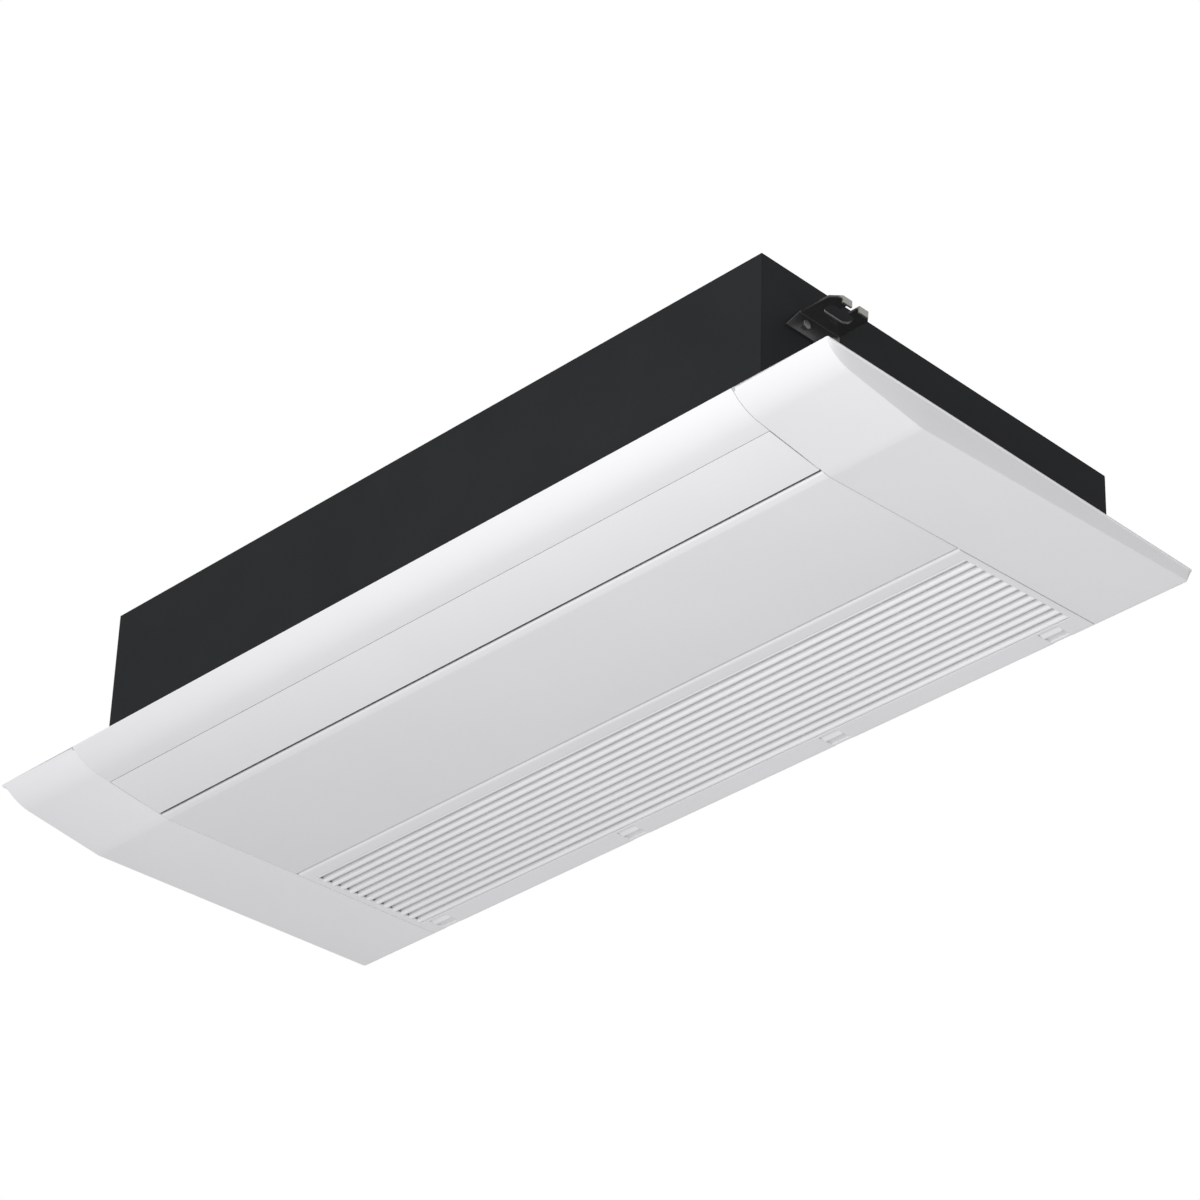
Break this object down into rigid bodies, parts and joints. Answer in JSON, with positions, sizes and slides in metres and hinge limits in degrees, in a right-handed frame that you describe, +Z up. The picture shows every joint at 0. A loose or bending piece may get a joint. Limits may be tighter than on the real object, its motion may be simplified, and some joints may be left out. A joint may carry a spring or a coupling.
{
  "type": "one-way ceiling cassette air conditioner",
  "caption": "Slim one-way ceiling cassette air conditioner: dark steel casing with hanging brackets and a white panel with a tilting vane and a hinged slatted intake grille",
  "frame": {"origin": "on the ceiling plane, at the middle of the panel's rim", "axes": "+X along the unit towards the electrical end, -Y the blowing side, +Z up into the ceiling"},
  "size_m": [1.1, 0.5114, 0.1615],
  "materials": {
    "panel_white": "fine satin",
    "galvanised_dark": "dark coated steel",
    "bracket_black": "black coated steel",
    "galvanised_bare": "zinc coated sheet",
    "screw_steel": "zinc plated",
    "filter_grey": "fine net in a plastic rim",
    "foam_white": "moulded foam",
    "plastic_black": "matt",
    "plastic_grey": "matt",
    "rubber_black": "matt",
    "fin_aluminium": "plain fin stock",
    "copper": "drawn copper",
    "board_green": "coated board"
  },
  "bodies": {
    "unit": {"air_sensor": "plastic_black", "cable_grommet": "rubber_black", "casing_front": "galvanised_dark", "casing_left_end": "galvanised_dark", "casing_rear": "galvanised_dark", "casing_right_end": "galvanised_dark", "casing_top": "galvanised_dark", "coil_bends": "copper", "coil_end_plates": "galvanised_bare", "coil_fins": "fin_aluminium", "control_board": "board_green", "control_box": "galvanised_bare", "control_box_lid": "galvanised_bare", "drain_pan": "foam_white", "drain_pipe": "plastic_grey", "drain_pump": "plastic_black", "fan_bearing": "rubber_black", "fan_motor": "galvanised_bare", "fan_motor_bracket": "galvanised_bare", "fan_wall_left": "galvanised_bare", "fan_wall_right": "galvanised_bare", "float_switch": "plastic_grey", "front_hangers": "bracket_black", "front_strip": "panel_white", "gas_pipe": "copper", "hanger_screws": "screw_steel", "left_end_cover": "panel_white", "liquid_pipe": "copper", "louver_carrier": "plastic_black", "louver_motor": "screw_steel", "mid_panel": "panel_white", "panel_frame": "panel_white", "panel_screws": "screw_steel", "rear_hangers": "bracket_black", "right_end_cover": "panel_white", "scroll_housing": "foam_white", "stabiliser": "foam_white", "terminal_block": "plastic_black", "vane_motor": "screw_steel"},
    "vane_body": {"vane": "panel_white", "vane_shaft": "screw_steel"},
    "grille_body": {"intake_grille": "panel_white"},
    "filter_body": {"air_filter": "filter_grey"},
    "fan_body": {"fan_rotor": "plastic_black", "fan_shaft": "screw_steel"},
    "impeller_body": {"pump_impeller": "foam_white"},
    "float_body": {"level_float": "foam_white"},
    "link_body": {"louver_link_bar": "plastic_black"},
    "louver_1_body": {"louver_1": "plastic_grey"},
    "louver_2_body": {"louver_2": "plastic_grey"},
    "louver_3_body": {"louver_3": "plastic_grey"},
    "louver_4_body": {"louver_4": "plastic_grey"},
    "louver_5_body": {"louver_5": "plastic_grey"},
    "louver_6_body": {"louver_6": "plastic_grey"},
    "louver_7_body": {"louver_7": "plastic_grey"},
    "louver_8_body": {"louver_8": "plastic_grey"},
    "grille_latch_1_body": {"grille_latch_1": "panel_white"},
    "grille_latch_2_body": {"grille_latch_2": "panel_white"},
    "grille_latch_3_body": {"grille_latch_3": "panel_white"},
    "grille_latch_4_body": {"grille_latch_4": "panel_white"}
  },
  "joints": [
    {"name": "vane_hinge", "type": "hinge", "parent": "unit", "child": "vane_body", "pos_m": [0, -0.13425, -0.02145], "axis": [1, 0, 0], "range_deg": [0, 60]},
    {"name": "grille_hinge", "type": "hinge", "parent": "unit", "child": "grille_body", "pos_m": [0, 0.05445, -0.01665], "axis": [-1, 0, 0], "range_deg": [0, 85]},
    {"name": "filter_slide", "type": "slide", "parent": "grille_body", "child": "filter_body", "axis": [0, 0, 1], "range_m": [0, 0.008]},
    {"name": "fan_spin", "type": "hinge", "parent": "unit", "child": "fan_body", "pos_m": [0, -0.108, 0.07], "axis": [1, 0, 0], "continuous": true},
    {"name": "impeller_spin", "type": "hinge", "parent": "unit", "child": "impeller_body", "pos_m": [-0.352, 0.088, 0.0092], "axis": [0, 0, 1], "continuous": true},
    {"name": "float_slide", "type": "slide", "parent": "unit", "child": "float_body", "axis": [0, 0, 1], "range_m": [0, 0.008]},
    {"name": "louver_1_pivot", "type": "hinge", "parent": "unit", "child": "louver_1_body", "pos_m": [-0.26519, -0.2, 0.034], "axis": [0, 1, 0], "range_deg": [-30, 30]},
    {"name": "louver_2_pivot", "type": "hinge", "parent": "unit", "child": "louver_2_body", "pos_m": [-0.17156, -0.2, 0.034], "axis": [0, 1, 0], "range_deg": [-30, 30]},
    {"name": "louver_3_pivot", "type": "hinge", "parent": "unit", "child": "louver_3_body", "pos_m": [-0.07794, -0.2, 0.034], "axis": [0, 1, 0], "range_deg": [-30, 30]},
    {"name": "louver_4_pivot", "type": "hinge", "parent": "unit", "child": "louver_4_body", "pos_m": [0.01569, -0.2, 0.034], "axis": [0, 1, 0], "range_deg": [-30, 30]},
    {"name": "louver_5_pivot", "type": "hinge", "parent": "unit", "child": "louver_5_body", "pos_m": [0.10931, -0.2, 0.034], "axis": [0, 1, 0], "range_deg": [-30, 30]},
    {"name": "louver_6_pivot", "type": "hinge", "parent": "unit", "child": "louver_6_body", "pos_m": [0.20294, -0.2, 0.034], "axis": [0, 1, 0], "range_deg": [-30, 30]},
    {"name": "louver_7_pivot", "type": "hinge", "parent": "unit", "child": "louver_7_body", "pos_m": [0.29656, -0.2, 0.034], "axis": [0, 1, 0], "range_deg": [-30, 30]},
    {"name": "louver_8_pivot", "type": "hinge", "parent": "unit", "child": "louver_8_body", "pos_m": [0.39019, -0.2, 0.034], "axis": [0, 1, 0], "range_deg": [-30, 30]},
    {"name": "link_pivot", "type": "hinge", "parent": "louver_1_body", "child": "link_body", "pos_m": [-0.26519, -0.2, 0.014], "axis": [0, 1, 0], "range_deg": [-30, 30]},
    {"name": "grille_latch_1_slide", "type": "slide", "parent": "grille_body", "child": "grille_latch_1_body", "axis": [0, 1, 0], "range_m": [0, 0.004], "stiffness_N_per_m": 300, "springref_m": -0.004},
    {"name": "grille_latch_2_slide", "type": "slide", "parent": "grille_body", "child": "grille_latch_2_body", "axis": [0, 1, 0], "range_m": [0, 0.004], "stiffness_N_per_m": 300, "springref_m": -0.004},
    {"name": "grille_latch_3_slide", "type": "slide", "parent": "grille_body", "child": "grille_latch_3_body", "axis": [0, 1, 0], "range_m": [0, 0.004], "stiffness_N_per_m": 300, "springref_m": -0.004},
    {"name": "grille_latch_4_slide", "type": "slide", "parent": "grille_body", "child": "grille_latch_4_body", "axis": [0, 1, 0], "range_m": [0, 0.004], "stiffness_N_per_m": 300, "springref_m": -0.004}
  ],
  "couplings": [
    {"joint": "louver_2_pivot", "follows": "louver_1_pivot", "ratio": 1},
    {"joint": "louver_3_pivot", "follows": "louver_1_pivot", "ratio": 1},
    {"joint": "louver_4_pivot", "follows": "louver_1_pivot", "ratio": 1},
    {"joint": "louver_5_pivot", "follows": "louver_1_pivot", "ratio": 1},
    {"joint": "louver_6_pivot", "follows": "louver_1_pivot", "ratio": 1},
    {"joint": "louver_7_pivot", "follows": "louver_1_pivot", "ratio": 1},
    {"joint": "louver_8_pivot", "follows": "louver_1_pivot", "ratio": 1},
    {"joint": "link_pivot", "follows": "louver_1_pivot", "ratio": -1}
  ]
}
